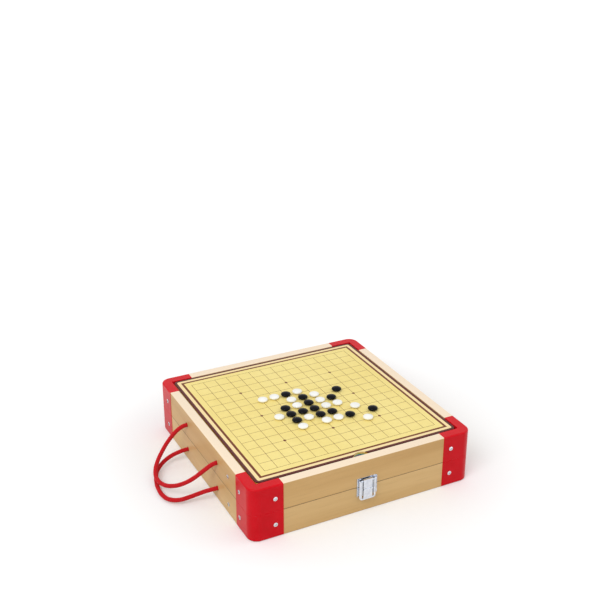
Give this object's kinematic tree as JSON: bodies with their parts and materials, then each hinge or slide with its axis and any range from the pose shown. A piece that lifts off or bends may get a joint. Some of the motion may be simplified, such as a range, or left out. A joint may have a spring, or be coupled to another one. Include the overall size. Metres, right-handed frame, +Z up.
{
  "type": "games compendium box",
  "caption": "Square hinged wooden games case with red corner blocks, a front toggle latch, rope handles, and a stack of thin game boards seated in the lid's recess.",
  "frame": {"origin": "middle of the case's footprint, on the surface it stands on", "axes": "+X right along the front with the latch, +Y back to the hinges, +Z up"},
  "size_m": [0.3639, 0.3112, 0.0751],
  "materials": {
    "wall_wood": "satin varnish",
    "corner_red": "glossy red",
    "screw_steel": "bright plated",
    "plywood": "bare plywood",
    "divider_wood": "bare wood",
    "river_print": "printed board, satin",
    "hinge_metal": "plated",
    "latch_metal": "bright plated",
    "rope_red": "braided cord",
    "pentagram_print": "laminated print",
    "snakes_print": "laminated print",
    "ludo_print": "laminated print",
    "star_print": "laminated print",
    "lines_print": "laminated print",
    "stone_black": "glossy",
    "stone_white": "glossy",
    "disc_red": "stained wood",
    "disc_black": "stained wood",
    "pawn_red": "glossy",
    "pawn_yellow": "glossy",
    "pawn_green": "glossy",
    "pawn_blue": "glossy",
    "dice_white": "glossy"
  },
  "bodies": {
    "lower_case": {"lower_front_wall": "wall_wood", "lower_back_wall": "wall_wood", "lower_left_wall": "wall_wood", "lower_right_wall": "wall_wood", "lower_corner_front_left": "corner_red", "lower_corner_front_right": "corner_red", "lower_corner_back_left": "corner_red", "lower_corner_back_right": "corner_red", "lower_corner_screws": "screw_steel", "bottom_panel": "plywood", "lower_divider": "divider_wood", "tray_partitions": "divider_wood", "lower_divider_screws": "screw_steel", "hinge_leaves_lower": "hinge_metal", "hinge_pins": "hinge_metal", "hinge_screws_lower": "screw_steel", "latch_base": "latch_metal", "latch_base_screws": "screw_steel", "latch_rivets": "latch_metal", "rope_handle_lower": "rope_red", "rope_knots_lower": "rope_red", "discs_red": "disc_red", "discs_black": "disc_black", "pawns_red": "pawn_red", "pawns_yellow": "pawn_yellow", "pawns_green": "pawn_green", "pawns_blue": "pawn_blue", "dice": "dice_white"},
    "upper_case": {"upper_front_wall": "wall_wood", "upper_back_wall": "wall_wood", "upper_left_wall": "wall_wood", "upper_right_wall": "wall_wood", "upper_corner_front_left": "corner_red", "upper_corner_front_right": "corner_red", "upper_corner_back_left": "corner_red", "upper_corner_back_right": "corner_red", "upper_corner_screws": "screw_steel", "lid_panel": "plywood", "river_board": "river_print", "upper_divider": "divider_wood", "upper_divider_screws": "screw_steel", "hinge_leaves_upper": "hinge_metal", "hinge_screws_upper": "screw_steel", "latch_strike": "latch_metal", "latch_strike_screws": "screw_steel", "rope_handle_upper": "rope_red", "rope_knots_upper": "rope_red"},
    "latch_lever": {"latch_lever": "latch_metal", "latch_strap_pin": "latch_metal"},
    "latch_strap": {"latch_strap": "latch_metal"},
    "board_pentagram": {"board_pentagram": "pentagram_print"},
    "board_snakes": {"board_snakes": "snakes_print"},
    "board_ludo": {"board_ludo": "ludo_print"},
    "board_star": {"board_star": "star_print"},
    "board_lines": {"board_lines": "lines_print", "stones_black": "stone_black", "stones_white": "stone_white"}
  },
  "joints": [
    {"name": "lid_hinge", "type": "hinge", "parent": "lower_case", "child": "upper_case", "pos_m": [0, 0.15295, 0.035], "axis": [1, 0, 0], "range_deg": [-180, 0]},
    {"name": "latch_lever_pivot", "type": "hinge", "parent": "lower_case", "child": "latch_lever", "pos_m": [0, -0.1527, 0.0433], "axis": [1, 0, 0], "range_deg": [-85, 0]},
    {"name": "latch_strap_pivot", "type": "hinge", "parent": "latch_lever", "child": "latch_strap", "pos_m": [0, -0.1547, 0.0325], "axis": [1, 0, 0], "range_deg": [0, 93.5]},
    {"name": "board_pentagram_lift", "type": "slide", "parent": "upper_case", "child": "board_pentagram", "axis": [0, 0, 1], "range_m": [0, 0.064]},
    {"name": "board_snakes_lift", "type": "slide", "parent": "board_pentagram", "child": "board_snakes", "axis": [0, 0, 1], "range_m": [0, 0.054]},
    {"name": "board_ludo_lift", "type": "slide", "parent": "board_snakes", "child": "board_ludo", "axis": [0, 0, 1], "range_m": [0, 0.052]},
    {"name": "board_star_lift", "type": "slide", "parent": "board_ludo", "child": "board_star", "axis": [0, 0, 1], "range_m": [0, 0.051]},
    {"name": "board_lines_lift", "type": "slide", "parent": "board_star", "child": "board_lines", "axis": [0, 0, 1], "range_m": [0, 0.054]}
  ],
  "couplings": [
    {"joint": "latch_strap_pivot", "follows": "latch_lever_pivot", "ratio": -1.1}
  ]
}
